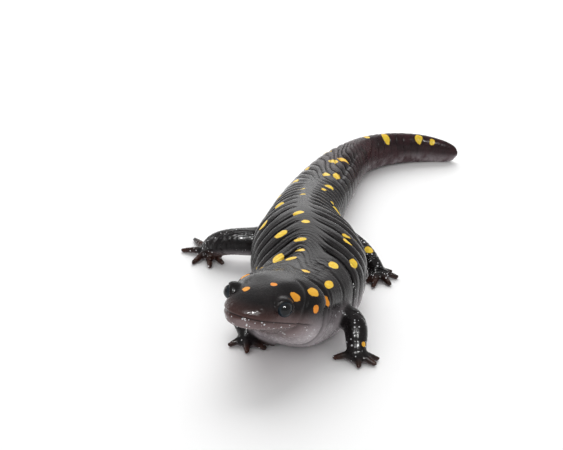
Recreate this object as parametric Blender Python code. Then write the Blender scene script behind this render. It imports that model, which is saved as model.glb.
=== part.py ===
"""Spotted salamander at rest on the floor, life size, its head raised and turned to its right.

The body is one lofted form along a curved mid-line, parted by thin cuts into head, neck, trunk
and tail. The limbs are lofted the same way and end in flat-soled feet with spread digits.
All sizes are in millimetres. MM turns them into metres when a mesh is made.
"""

import math

import bmesh
import bpy
import numpy as np
from mathutils import Matrix, Vector

MM = 0.001
GAP = 0.3
BODY_SIDES = 32
LIMB_SIDES = 10
RING_STEP = 3.0
LIMB_RING_STEP = 1.6

# Mid-line of the body from the snout to the tip of the tail. The animal lies along +Y, its
# snout at -Y. The neck bends to its right, which is -X, and the tail sweeps to its left.
MIDLINE = [
    (-7.0, -74.4, 13.6),
    (-4.6, -69.0, 13.0),
    (-1.2, -63.6, 11.8),
    (1.8, -58.0, 10.4),
    (4.8, -50.0, 8.8),
    (5.6, -38.0, 7.8),
    (4.7, -24.0, 7.4),
    (5.4, -12.0, 6.8),
    (7.6, 0.0, 6.0),
    (10.0, 10.0, 5.3),
    (12.8, 19.5, 4.9),
    (16.6, 28.8, 4.7),
    (22.0, 36.8, 4.4),
    (29.0, 41.8, 4.1),
    (37.0, 43.8, 3.7),
    (46.3, 43.0, 2.4),
]

# Cross-sections: distance along the mid-line from the snout, half width, height of the back
# above the mid-line, and depth of the belly below it.
SECTIONS = [
    (0.0, 0.3, 0.3, 0.3),       # front of the lip
    (0.7, 2.7, 1.5, 2.0),
    (2.5, 4.5, 2.5, 3.0),       # nostrils
    (5.0, 5.8, 3.4, 3.9),
    (8.0, 6.9, 4.1, 4.6),       # behind the eyes
    (12.0, 8.6, 4.8, 6.7),      # cheeks
    (16.0, 9.2, 5.0, 9.0),      # throat
    (20.0, 9.0, 4.9, 10.4),     # neck
    (25.0, 9.8, 5.2, 10.8),
    (31.0, 11.0, 5.8, 10.2),    # shoulders
    (41.0, 11.9, 6.8, 9.2),
    (50.0, 11.1, 7.2, 8.8),     # widest part of the trunk
    (58.0, 9.0, 6.8, 8.4),
    (66.0, 8.0, 6.2, 7.6),      # hips
    (74.0, 7.7, 5.6, 6.6),
    (84.0, 7.4, 5.0, 5.6),      # root of the tail
    (94.0, 6.9, 4.8, 5.0),
    (104.0, 5.7, 4.9, 4.8),
    (114.0, 3.9, 4.8, 4.5),
    (124.0, 2.8, 4.4, 4.2),
    (133.0, 2.3, 3.6, 4.0),
    (140.2, 1.7, 2.7, 3.3),
    (143.4, 0.9, 1.7, 2.3),
    (144.5, 0.2, 0.4, 0.6),     # tip of the tail
]
BACK_ROUNDNESS = 2.2
BELLY_ROUNDNESS = 2.6

# Where each length of the body starts, as a distance along the mid-line.
BODY_CUTS = [
    ("head", 0.0),
    ("neck", 19.0),
    ("trunk_front", 31.0),
    ("trunk_rear", 49.0),
    ("tail_base", 71.0),
    ("tail_middle", 93.0),
    ("tail_tip", 118.0),
]

# Eyes: distance from the snout, then out and up from the mid-line. The head rolls a little,
# so that its left eye is lower.
EYE_DISTANCE = 6.6
EYE_OUT = 5.2
EYE_UP = 1.3
HEAD_ROLL = 0.06
LID_RADIUS = 2.15
EYEBALL_RADIUS = 1.6
EYEBALL_SHIFT = 0.25
# The lids' opening is a ball-shaped cut, this far ahead of the lids' middle.
OPENING_RADIUS = 1.95
OPENING_SHIFT = 2.2

# The mouth slopes down from the lip towards the jaw joint.
MOUTH_TILT = math.radians(14.0)
MOUTH_ROLL = 0.10
MOUTH_ABOVE_LIP = 0.25
MOUTH_LENGTH = 12.5

# Limbs: root inside the body, joints, ankle or wrist, middle of the foot. Each point has a
# radius. The two cuts are distances along the limb.
LIMBS = {
    "fore_left": {
        "pieces": ("upper_arm_left", "forearm_left", "fore_foot_left"),
        "path": [
            (7, -55.5, 6.4), (10.6, -57.4, 6), (13.2, -58.9, 5.4),
            (14.1, -61.8, 4), (14.1, -63.5, 2.2), (14.2, -64.8, 1.3),
        ],
        "radii": [2.8, 2.5, 2.4, 2.2, 1.95, 1.6],
        "cuts": (8.6, 11.6),
        "digits": [(9.9, -64.6), (14.3, -68), (17.3, -67.1), (17.9, -65.1)],
    },
    "fore_right": {
        "pieces": ("upper_arm_right", "forearm_right", "fore_foot_right"),
        "path": [
            (-1.5, -50, 6.5), (-4.8, -50.4, 6), (-7.7, -51.8, 5.2),
            (-7.6, -55, 3.6), (-6.8, -57, 2.2), (-6.6, -58.6, 1.3),
        ],
        "radii": [2.8, 2.5, 2.4, 2.1, 1.8, 1.5],
        "cuts": (8.2, 11.2),
        "digits": [(-9.9, -59.6), (-6.6, -62.3), (-3.2, -61), (-1.6, -59.3)],
    },
    "hind_left": {
        "pieces": ("thigh_left", "shin_left", "hind_foot_left"),
        "path": [
            (10, -14, 5), (13.5, -18.2, 4.6), (16.9, -22.6, 3.9),
            (19.5, -26.4, 2.4), (20.5, -28.6, 1.3),
        ],
        "radii": [2.9, 2.6, 2.3, 1.8, 1.6],
        "cuts": (10.8, 14.4),
        "digits": [(18.2, -31.6), (19.2, -34), (22.8, -32.9), (24.5, -29.3), (23.4, -26.6)],
    },
    "hind_right": {
        "pieces": ("thigh_right", "shin_right", "hind_foot_right"),
        "path": [
            (-1, -19, 5), (-6.4, -20.9, 5), (-11, -20.4, 4.7),
            (-14.3, -19.2, 3.4), (-16, -17.6, 1.7),
        ],
        "radii": [3.3, 3.1, 2.9, 2.6, 2],
        "cuts": (9.2, 13.6),
        "digits": [(-19.7, -9.4), (-22, -15.4), (-19.3, -22), (-15.6, -24), (-12.9, -22.2)],
    },
}
PALM_RADIUS = 2.1
PALM_HEIGHT = 2.2
DIGIT_RADII = (1.15, 0.8, 0.5)
DIGIT_HEIGHTS = (1.2, 0.95, 0.4)

SKIN_BLACK = (0.022, 0.020, 0.022)
EYE_BLACK = (0.008, 0.008, 0.010)


def natural_spline(knots, values):
    """Return a function that passes a smooth curve through values at the given knots."""
    knots = np.asarray(knots, float)
    values = np.asarray(values, float)
    spans = np.diff(knots)
    slopes = np.diff(values, axis=0) / spans[:, None]
    count = len(knots)
    system = np.eye(count)
    target = np.zeros_like(values)
    for i in range(1, count - 1):
        system[i, i - 1:i + 2] = spans[i - 1], 2 * (spans[i - 1] + spans[i]), spans[i]
        target[i] = 6 * (slopes[i] - slopes[i - 1])
    bend = np.linalg.solve(system, target)

    def curve(t):
        t = np.atleast_1d(np.asarray(t, float))
        i = np.clip(np.searchsorted(knots, t) - 1, 0, count - 2)
        span = spans[i][:, None]
        after = (t - knots[i])[:, None]
        before = span - after
        cubic = (bend[i] * before ** 3 + bend[i + 1] * after ** 3) / (6 * span)
        low = (values[i] / span - bend[i] * span / 6) * before
        high = (values[i + 1] / span - bend[i + 1] * span / 6) * after
        return cubic + low + high

    return curve


def steady_curve(knots, values):
    """Return a function through values that never overshoots them between two knots."""
    knots = np.asarray(knots, float)
    values = np.asarray(values, float)
    spans = np.diff(knots)
    slopes = np.diff(values) / spans
    tangents = np.zeros_like(values)
    tangents[0] = slopes[0]
    tangents[-1] = slopes[-1]
    for i in range(1, len(knots) - 1):
        if slopes[i - 1] * slopes[i] > 0:
            tangents[i] = 2 * slopes[i - 1] * slopes[i] / (slopes[i - 1] + slopes[i])

    def curve(t):
        t = np.atleast_1d(np.asarray(t, float))
        i = np.clip(np.searchsorted(knots, t) - 1, 0, len(knots) - 2)
        span = spans[i]
        u = (t - knots[i]) / span
        start = (1 + 2 * u) * (1 - u) ** 2 * values[i] + u * (1 - u) ** 2 * span * tangents[i]
        end = u * u * (3 - 2 * u) * values[i + 1] + u * u * (u - 1) * span * tangents[i + 1]
        return start + end

    return curve


class Route:
    """A smooth path through points, measured by distance, with a frame at each distance."""

    def __init__(self, points):
        points = np.asarray(points, float)
        chords = np.linalg.norm(np.diff(points, axis=0), axis=1)
        self.knots = np.concatenate([[0.0], np.cumsum(chords)])
        self.curve = natural_spline(self.knots, points)
        self.length = float(self.knots[-1])

    def frame(self, distance):
        """Return the point, the direction of travel, the left side and the up direction."""
        step = 0.01
        point = self.curve(distance)
        travel = self.curve(np.add(distance, step)) - self.curve(np.subtract(distance, step))
        travel /= np.linalg.norm(travel, axis=1)[:, None]
        side = np.cross(travel, [0.0, 0.0, 1.0])
        side /= np.linalg.norm(side, axis=1)[:, None]
        return point, travel, side, np.cross(side, travel)


BODY = Route(MIDLINE)
STATIONS = np.array(SECTIONS)
HALF_WIDTH = steady_curve(STATIONS[:, 0], STATIONS[:, 1])
BACK_HEIGHT = steady_curve(STATIONS[:, 0], STATIONS[:, 2])
BELLY_DEPTH = steady_curve(STATIONS[:, 0], STATIONS[:, 3])


def body_rings(start, end, grow=0.0, on_floor=True):
    """Return the body's cross-sections between two distances, as rows of points."""
    bends_at_snout = [d for d in (0.25, 0.7, 1.4) if start < d < end]
    bends_at_tip = [d for d in (140.2, 142.0, 143.2, 143.9) if start < d < end]
    first = bends_at_snout[-1] if bends_at_snout else start
    last = bends_at_tip[0] if bends_at_tip else end
    count = max(2, math.ceil((last - first) / RING_STEP) + 1)
    distances = sorted({start, end, *bends_at_snout, *bends_at_tip, *np.linspace(first, last, count)})
    point, _, side, up = BODY.frame(distances)
    turn = np.linspace(0, 2 * math.pi, BODY_SIDES, endpoint=False)
    power = np.where(np.sin(turn) > 0, 2 / BACK_ROUNDNESS, 2 / BELLY_ROUNDNESS)
    across = np.sign(np.cos(turn)) * np.abs(np.cos(turn)) ** power
    upward = np.sign(np.sin(turn)) * np.abs(np.sin(turn)) ** power
    width = HALF_WIDTH(distances)[:, None] + grow
    back = BACK_HEIGHT(distances)[:, None] + grow
    belly = BELLY_DEPTH(distances)[:, None] + grow
    height = np.where(upward > 0, back, belly) * upward
    rings = point[:, None] + side[:, None] * (width * across)[..., None] + up[:, None] * height[..., None]
    if on_floor:
        rings[..., 2] = np.maximum(rings[..., 2], 0.0)
    return rings


def tube_rings(route, radius, start, end, step):
    """Return round cross-sections along a route between two distances."""
    count = max(2, math.ceil((end - start) / step) + 1)
    distances = np.linspace(start, end, count)
    point, _, side, up = route.frame(distances)
    turn = np.linspace(0, 2 * math.pi, LIMB_SIDES, endpoint=False)
    spoke = side[:, None] * np.cos(turn)[None, :, None] + up[:, None] * np.sin(turn)[None, :, None]
    return point[:, None] + spoke * radius(distances)[:, None, None]


def skin_material(name, color, roughness):
    material = bpy.data.materials.new(name)
    material.use_nodes = True
    shader = material.node_tree.nodes["Principled BSDF"]
    shader.inputs["Base Color"].default_value = (*color, 1.0)
    shader.inputs["Roughness"].default_value = roughness
    shader.inputs["Metallic"].default_value = 0.0
    return material


def add_object(name, mesh, color=None, roughness=0.3):
    """Link an object. With a colour it is a piece of the animal, without one a hidden guide."""
    piece = bpy.data.objects.new(name, mesh)
    bpy.context.scene.collection.objects.link(piece)
    if color is None:
        piece.hide_render = True
        piece.display_type = "WIRE"
    else:
        mesh.materials.append(skin_material(name + "_skin", color, roughness))
        mesh.shade_smooth()
        mesh.set_sharp_from_angle(angle=math.radians(50.0))
    return piece


def loft_mesh(name, rings):
    """Make a closed mesh from rows of points, with a fan of triangles over each end."""
    shape = bmesh.new()
    rows = [[shape.verts.new(Vector(point) * MM) for point in ring] for ring in rings]
    sides = len(rows[0])
    for near, far in zip(rows, rows[1:]):
        for i in range(sides):
            shape.faces.new((near[i], near[(i + 1) % sides], far[(i + 1) % sides], far[i]))
    for row, ring in ((rows[0], rings[0]), (rows[-1], rings[-1])):
        middle = shape.verts.new(Vector(ring.mean(axis=0)) * MM)
        for i in range(sides):
            shape.faces.new((row[i], row[(i + 1) % sides], middle))
    bmesh.ops.recalc_face_normals(shape, faces=shape.faces)
    mesh = bpy.data.meshes.new(name)
    shape.to_mesh(mesh)
    shape.free()
    return mesh


def ball_mesh(name, center, radii, segments, rings):
    """Make an ellipsoid with its poles up and down."""
    shape = bmesh.new()
    bmesh.ops.create_uvsphere(shape, u_segments=segments, v_segments=rings, radius=1.0)
    place = Matrix.Translation(Vector(center) * MM) @ Matrix.Diagonal((*(Vector(radii) * MM), 1.0))
    bmesh.ops.transform(shape, matrix=place, verts=shape.verts)
    mesh = bpy.data.meshes.new(name)
    shape.to_mesh(mesh)
    shape.free()
    return mesh


def box_mesh(name, origin, axes, low, high):
    """Make a box from two opposite corners, measured along three axes from an origin."""
    shape = bmesh.new()
    bmesh.ops.create_cube(shape, size=1.0)
    for corner in shape.verts:
        along = [low[i] if corner.co[i] < 0 else high[i] for i in range(3)]
        corner.co = Vector(origin + sum(a * axis for a, axis in zip(along, axes))) * MM
    mesh = bpy.data.meshes.new(name)
    shape.to_mesh(mesh)
    shape.free()
    return mesh


def combine(piece, operation, other):
    modifier = piece.modifiers.new(operation.title() + " " + other.name, "BOOLEAN")
    modifier.operation = operation
    modifier.solver = "EXACT"
    modifier.object = other


def eye_places():
    """Yield each eye's side name, the middle of its lids and the way it looks."""
    point, travel, side, up = (axis[0] for axis in BODY.frame([EYE_DISTANCE]))
    for name, sign in (("left", 1.0), ("right", -1.0)):
        center = point + side * EYE_OUT * sign + up * (EYE_UP - HEAD_ROLL * EYE_OUT * sign)
        outlook = side * 0.74 * sign + up * 0.18 - travel * 0.55
        yield name, center, outlook / np.linalg.norm(outlook)


def make_eyes():
    """Two round eyeballs, each set in the middle of its swollen lids."""
    pieces = []
    for name, center, outlook in eye_places():
        ball = center + outlook * EYEBALL_SHIFT
        mesh = ball_mesh("eye_" + name, ball, [EYEBALL_RADIUS] * 3, 14, 10)
        pieces.append(add_object("eye_" + name, mesh, EYE_BLACK, 0.05))
    return pieces


def mouth_frame():
    """Return the lip's place and the axes to the left, back along the mouth and upward."""
    point, travel, side, up = (axis[0] for axis in BODY.frame([3.0]))
    lip = point - travel * 3.0
    back = travel * math.cos(MOUTH_TILT) - up * math.sin(MOUTH_TILT)
    upward = up * math.cos(MOUTH_TILT) + travel * math.sin(MOUTH_TILT) + side * MOUTH_ROLL
    upward /= np.linalg.norm(upward)
    return lip, (np.cross(back, upward), back, upward)


def make_head(end):
    """Upper head with swollen eyelids, and the lower jaw below the mouth's thin gap."""
    head = add_object("head", loft_mesh("head", body_rings(0.0, end)), SKIN_BLACK)
    jaw = add_object("lower_jaw", loft_mesh("lower_jaw", body_rings(0.0, end)), SKIN_BLACK)
    for name, center, outlook in eye_places():
        lids = add_object("lids_" + name, ball_mesh("lids", center, [LID_RADIUS] * 3, 14, 10))
        combine(head, "UNION", lids)
        ball = center + outlook * EYEBALL_SHIFT
        socket_radius = EYEBALL_RADIUS + GAP
        socket = add_object("socket_" + name, ball_mesh("socket", ball, [socket_radius] * 3, 14, 10))
        combine(head, "DIFFERENCE", socket)
        front = center + outlook * OPENING_SHIFT
        opening = add_object("opening_" + name, ball_mesh("opening", front, [OPENING_RADIUS] * 3, 14, 10))
        combine(head, "DIFFERENCE", opening)
    lip, axes = mouth_frame()
    reach = 25.0
    low = (-reach, -reach, -reach)
    floor_of_mouth = (reach, MOUTH_LENGTH, MOUTH_ABOVE_LIP - GAP)
    roof_of_mouth = (reach, MOUTH_LENGTH + GAP, MOUTH_ABOVE_LIP)
    jaw_space = add_object("jaw_space", box_mesh("jaw_space", lip, axes, low, floor_of_mouth))
    head_notch = add_object("head_notch", box_mesh("head_notch", lip, axes, low, roof_of_mouth))
    combine(jaw, "INTERSECT", jaw_space)
    combine(head, "DIFFERENCE", head_notch)
    return [head, jaw]


def make_body():
    """Head, neck, trunk and tail in lengths along the mid-line, each a gap from the next."""
    ends = [start for _, start in BODY_CUTS[1:]] + [float(STATIONS[-1, 0])]
    pieces = make_head(ends[0])
    for (name, start), end in zip(BODY_CUTS[1:], ends[1:]):
        mesh = loft_mesh(name, body_rings(start + GAP, end))
        pieces.append(add_object(name, mesh, SKIN_BLACK))
    return pieces


def digit_mesh(name, root, tip):
    """A tapering toe from the middle of the foot to its blunt tip."""
    root = np.array(root, float)
    tip = np.array(tip, float)
    middle = (root + tip) / 2
    plan = (root, middle, tip)
    route = Route([(*place, height) for place, height in zip(plan, DIGIT_HEIGHTS)])
    radius = steady_curve(route.knots, DIGIT_RADII)
    rings = tube_rings(route, radius, 0.0, route.length, route.length / 4)
    direction = (tip - root) / np.linalg.norm(tip - root)
    rounded = rings[-1].mean(axis=0) + (rings[-1] - rings[-1].mean(axis=0)) * 0.55
    rounded[:, :2] += direction * DIGIT_RADII[-1] * 0.6
    return loft_mesh(name, np.concatenate([rings, rounded[None]]))


def make_limb(limb, trunk_space, ground):
    """Upper limb, lower limb and foot along one route. The foot has flat soles and digits."""
    route = Route(limb["path"])
    radius = steady_curve(route.knots, limb["radii"])
    first_cut, second_cut = limb["cuts"]
    upper_name, lower_name, foot_name = limb["pieces"]
    spans = (
        (upper_name, 0.0, first_cut),
        (lower_name, first_cut + GAP, second_cut),
        (foot_name, second_cut + GAP, route.length),
    )
    pieces = []
    for name, start, end in spans:
        rings = tube_rings(route, radius, start, end, LIMB_RING_STEP)
        pieces.append(add_object(name, loft_mesh(name, rings), SKIN_BLACK))
    foot = pieces[-1]

    middle = np.array(limb["path"][-1])
    palm_center = (middle[0], middle[1], PALM_HEIGHT * 0.4)
    palm_radii = (PALM_RADIUS, PALM_RADIUS, PALM_HEIGHT * 0.6)
    palm = add_object(foot_name + "_palm", ball_mesh("palm", palm_center, palm_radii, 12, 8))
    combine(foot, "UNION", palm)
    for number, tip in enumerate(limb["digits"], 1):
        name = foot_name + "_digit_" + str(number)
        combine(foot, "UNION", add_object(name, digit_mesh(name, middle[:2], tip)))
    combine(foot, "DIFFERENCE", ground)
    for piece in pieces:
        combine(piece, "DIFFERENCE", trunk_space)
    return pieces


def stand_at_origin(pieces):
    """Parent the pieces to an empty that puts the middle of their footprint at the origin."""
    depsgraph = bpy.context.evaluated_depsgraph_get()
    corners = []
    for piece in pieces:
        mesh = piece.evaluated_get(depsgraph).data
        corners.extend(vertex.co.copy() for vertex in mesh.vertices)
    corners = np.array(corners)
    middle = (corners.min(axis=0) + corners.max(axis=0)) / 2
    salamander = bpy.data.objects.new("salamander", None)
    bpy.context.scene.collection.objects.link(salamander)
    salamander.location = (-middle[0], -middle[1], -corners[:, 2].min())
    for piece in bpy.context.scene.objects:
        if piece != salamander:
            piece.parent = salamander


for leftover in list(bpy.data.objects):
    bpy.data.objects.remove(leftover)

animal = make_body() + make_eyes()
trunk_end = BODY_CUTS[4][1]
trunk_rings = body_rings(5.0, trunk_end + 15.0, grow=GAP, on_floor=False)
trunk_space = add_object("trunk_space", loft_mesh("trunk_space", trunk_rings))
world_axes = np.eye(3)
ground_mesh = box_mesh("ground", np.zeros(3), world_axes, (-60, -100, -20), (60, 60, 0))
ground = add_object("ground", ground_mesh)
for limb in LIMBS.values():
    animal += make_limb(limb, trunk_space, ground)
stand_at_origin(animal)
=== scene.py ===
import math

import bmesh
import bpy
import numpy as np
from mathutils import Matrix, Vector, noise


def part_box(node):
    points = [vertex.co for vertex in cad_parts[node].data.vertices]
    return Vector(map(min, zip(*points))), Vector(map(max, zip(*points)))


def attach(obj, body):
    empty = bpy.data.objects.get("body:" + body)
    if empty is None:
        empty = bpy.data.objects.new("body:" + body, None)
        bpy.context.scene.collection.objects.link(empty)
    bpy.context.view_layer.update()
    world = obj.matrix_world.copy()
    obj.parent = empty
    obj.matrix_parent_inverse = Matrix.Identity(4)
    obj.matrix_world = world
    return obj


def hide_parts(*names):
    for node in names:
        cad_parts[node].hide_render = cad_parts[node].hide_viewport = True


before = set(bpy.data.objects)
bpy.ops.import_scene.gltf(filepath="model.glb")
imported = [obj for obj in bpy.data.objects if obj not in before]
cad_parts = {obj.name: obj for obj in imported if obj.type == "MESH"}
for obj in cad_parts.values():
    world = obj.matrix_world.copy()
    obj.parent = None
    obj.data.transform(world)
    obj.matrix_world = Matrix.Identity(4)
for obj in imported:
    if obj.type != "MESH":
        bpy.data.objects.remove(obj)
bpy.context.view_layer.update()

# --- Body form -------------------------------------------------------------------------------
# The living animal is one soft body from the lip to the tip of the tail, lofted along a curved
# mid-line. Sizes are in millimetres, as in the frame's own design, and turn into metres last.

MM = 0.001
# The middle of the body from the snout to the tip of the tail, bent as the animal stands.
MIDLINE = [
    (-7.0, -74.4, 13.6),
    (-4.6, -69.0, 13.0),
    (-1.2, -63.6, 11.8),
    (1.8, -58.0, 10.4),
    (4.8, -50.0, 8.8),
    (5.6, -38.0, 7.8),
    (4.7, -24.0, 7.4),
    (5.4, -12.0, 6.8),
    (7.6, 0.0, 6.0),
    (10.0, 10.0, 5.3),
    (12.8, 19.5, 4.9),
    (16.6, 28.8, 4.7),
    (22.0, 36.8, 4.4),
    (29.0, 41.8, 4.1),
    (37.0, 43.8, 3.7),
    (46.3, 43.0, 2.4),
]
# Distance from the snout, half width, height of the back and depth of the belly.
SECTIONS = [
    (0.0, 0.3, 0.3, 0.3),
    (0.7, 2.7, 1.5, 2.0),
    (2.5, 4.5, 2.5, 3.0),
    (5.0, 5.8, 3.4, 3.9),
    (8.0, 6.9, 4.1, 4.6),
    (12.0, 8.6, 4.8, 6.7),
    (16.0, 9.2, 5.0, 9.0),
    (20.0, 9.0, 4.9, 10.4),
    (25.0, 9.8, 5.2, 10.8),
    (31.0, 11.0, 5.8, 10.2),
    (41.0, 11.9, 6.8, 9.2),
    (50.0, 11.1, 7.2, 8.8),
    (58.0, 9.0, 6.8, 8.4),
    (66.0, 8.0, 6.2, 7.6),
    (74.0, 7.7, 5.6, 6.6),
    (84.0, 7.4, 5.0, 5.6),
    (94.0, 6.9, 4.8, 5.0),
    (104.0, 5.7, 4.9, 4.8),
    (114.0, 3.9, 4.8, 4.5),
    (124.0, 2.8, 4.4, 4.2),
    (133.0, 2.3, 3.6, 4.0),
    (140.2, 1.7, 2.7, 3.3),
    (143.4, 0.9, 1.7, 2.3),
    (144.5, 0.2, 0.4, 0.6),
]
BACK_ROUNDNESS = 2.2
BELLY_ROUNDNESS = 2.6
BODY_SIDES = 96
SNOUT_END = 3.0
SNOUT_RINGS = 20
TAIL_TIP_START = 138.0
TRUNK_RINGS = 240
TAIL_TIP_RINGS = 26


# A curve that bends smoothly through its points, like a springy strip of wood.
def natural_spline(knots, values):
    knots = np.asarray(knots, float)
    values = np.asarray(values, float)
    spans = np.diff(knots)
    slopes = np.diff(values, axis=0) / spans[:, None]
    count = len(knots)
    system = np.eye(count)
    target = np.zeros_like(values)
    for i in range(1, count - 1):
        system[i, i - 1:i + 2] = spans[i - 1], 2 * (spans[i - 1] + spans[i]), spans[i]
        target[i] = 6 * (slopes[i] - slopes[i - 1])
    bend = np.linalg.solve(system, target)

    def curve(t):
        t = np.atleast_1d(np.asarray(t, float))
        i = np.clip(np.searchsorted(knots, t) - 1, 0, count - 2)
        span = spans[i][:, None]
        after = (t - knots[i])[:, None]
        before = span - after
        cubic = (bend[i] * before ** 3 + bend[i + 1] * after ** 3) / (6 * span)
        low = (values[i] / span - bend[i] * span / 6) * before
        high = (values[i + 1] / span - bend[i + 1] * span / 6) * after
        return cubic + low + high

    return curve


# A curve through its values that never rises or dips past them.
def steady_curve(knots, values):
    knots = np.asarray(knots, float)
    values = np.asarray(values, float)
    spans = np.diff(knots)
    slopes = np.diff(values) / spans
    tangents = np.zeros_like(values)
    tangents[0] = slopes[0]
    tangents[-1] = slopes[-1]
    for i in range(1, len(knots) - 1):
        if slopes[i - 1] * slopes[i] > 0:
            tangents[i] = 2 * slopes[i - 1] * slopes[i] / (slopes[i - 1] + slopes[i])

    def curve(t):
        t = np.clip(np.atleast_1d(np.asarray(t, float)), knots[0], knots[-1])
        i = np.clip(np.searchsorted(knots, t) - 1, 0, len(knots) - 2)
        span = spans[i]
        u = (t - knots[i]) / span
        start = (1 + 2 * u) * (1 - u) ** 2 * values[i] + u * (1 - u) ** 2 * span * tangents[i]
        end = u * u * (3 - 2 * u) * values[i + 1] + u * u * (u - 1) * span * tangents[i + 1]
        return start + end

    return curve


# The line that a body, limb or digit follows, with its own side and upward directions.
class Route:
    def __init__(self, points):
        points = np.asarray(points, float)
        chords = np.linalg.norm(np.diff(points, axis=0), axis=1)
        self.knots = np.concatenate([[0.0], np.cumsum(chords)])
        self.curve = natural_spline(self.knots, points)
        self.length = float(self.knots[-1])

    def frame(self, distance):
        step = 0.01
        point = self.curve(distance)
        travel = self.curve(np.add(distance, step)) - self.curve(np.subtract(distance, step))
        travel /= np.linalg.norm(travel, axis=1)[:, None]
        side = np.cross(travel, [0.0, 0.0, 1.0])
        side /= np.linalg.norm(side, axis=1)[:, None]
        return point, travel, side, np.cross(side, travel)


# Walls between neighbouring rings, and a fan of triangles over each end.
def close_rings(rings):
    count, sides, _ = rings.shape
    points = np.concatenate([rings.reshape(-1, 3), rings[:1].mean(axis=1), rings[-1:].mean(axis=1)])
    near = np.arange(count * sides).reshape(count, sides)
    turned = np.roll(near, -1, axis=1)
    walls = np.stack([near[:-1], turned[:-1], turned[1:], near[1:]], axis=-1).reshape(-1, 4)
    front = [(a, count * sides, b) for a, b in zip(near[0], turned[0])]
    rear = [(b, count * sides + 1, a) for a, b in zip(near[-1], turned[-1])]
    return points, [tuple(face) for face in walls] + front + rear


def round_rings(route, radius, distances, sides):
    point, _, side, up = route.frame(distances)
    turn = np.linspace(0, 2 * math.pi, sides, endpoint=False)
    spoke = side[:, None] * np.cos(turn)[None, :, None] + up[:, None] * np.sin(turn)[None, :, None]
    return point[:, None] + spoke * radius(distances)[:, None, None]


def ball_rings(center, radii, count=24, sides=32):
    polar = np.linspace(0.02, math.pi - 0.02, count)
    turn = np.linspace(0, 2 * math.pi, sides, endpoint=False)
    wall = np.stack([
        np.sin(polar)[:, None] * np.cos(turn),
        -np.sin(polar)[:, None] * np.sin(turn),
        np.cos(polar)[:, None] + 0 * turn,
    ], axis=-1)
    return np.asarray(center) + wall * np.asarray(radii)


body = Route(MIDLINE)
stations = np.array(SECTIONS)
half_width = steady_curve(stations[:, 0], stations[:, 1])
back_height = steady_curve(stations[:, 0], stations[:, 2])
belly_depth = steady_curve(stations[:, 0], stations[:, 3])

# The rings lie closest together where the snout and the tip of the tail round off.
tail_end = float(stations[-1, 0])
distances = np.concatenate([
    np.linspace(0, SNOUT_END, SNOUT_RINGS, endpoint=False),
    np.linspace(SNOUT_END, TAIL_TIP_START, TRUNK_RINGS, endpoint=False),
    np.linspace(TAIL_TIP_START, tail_end, TAIL_TIP_RINGS),
])
point, travel, side, up = body.frame(distances)
turn = np.linspace(0, 2 * math.pi, BODY_SIDES, endpoint=False)
power = np.where(np.sin(turn) > 0, 2 / BACK_ROUNDNESS, 2 / BELLY_ROUNDNESS)
across = np.sign(np.cos(turn)) * np.abs(np.cos(turn)) ** power
upward = np.sign(np.sin(turn)) * np.abs(np.sin(turn)) ** power
height = np.where(upward > 0, back_height(distances)[:, None], belly_depth(distances)[:, None])
width = half_width(distances)[:, None]
body_rings = (point[:, None] + side[:, None] * (width * across)[..., None]
              + up[:, None] * (height * upward)[..., None])
forms = [close_rings(body_rings)]

# Eyelids: two swollen mounds of skin on the sides of the head, each round one eyeball.
EYE_DISTANCE = 6.6
EYE_OUT = 5.2
EYE_UP = 1.3
EYE_OUTLOOK = (0.74, 0.18, 0.55)
HEAD_ROLL = 0.06
LID_RADIUS = 2.15
EYEBALL_SHIFT = 0.25
EYEBALL_RADIUS = 1.62

eyes = {}
point, travel, side, up = (axis[0] for axis in body.frame([EYE_DISTANCE]))
for name, sign in (("left", 1.0), ("right", -1.0)):
    lids = point + side * EYE_OUT * sign + up * (EYE_UP - HEAD_ROLL * EYE_OUT * sign)
    outlook = side * EYE_OUTLOOK[0] * sign + up * EYE_OUTLOOK[1] - travel * EYE_OUTLOOK[2]
    outlook /= np.linalg.norm(outlook)
    eyes[name] = {"lids": lids, "outlook": outlook, "ball": lids + outlook * EYEBALL_SHIFT}
    forms.append(close_rings(ball_rings(lids, [LID_RADIUS] * 3)))

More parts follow.
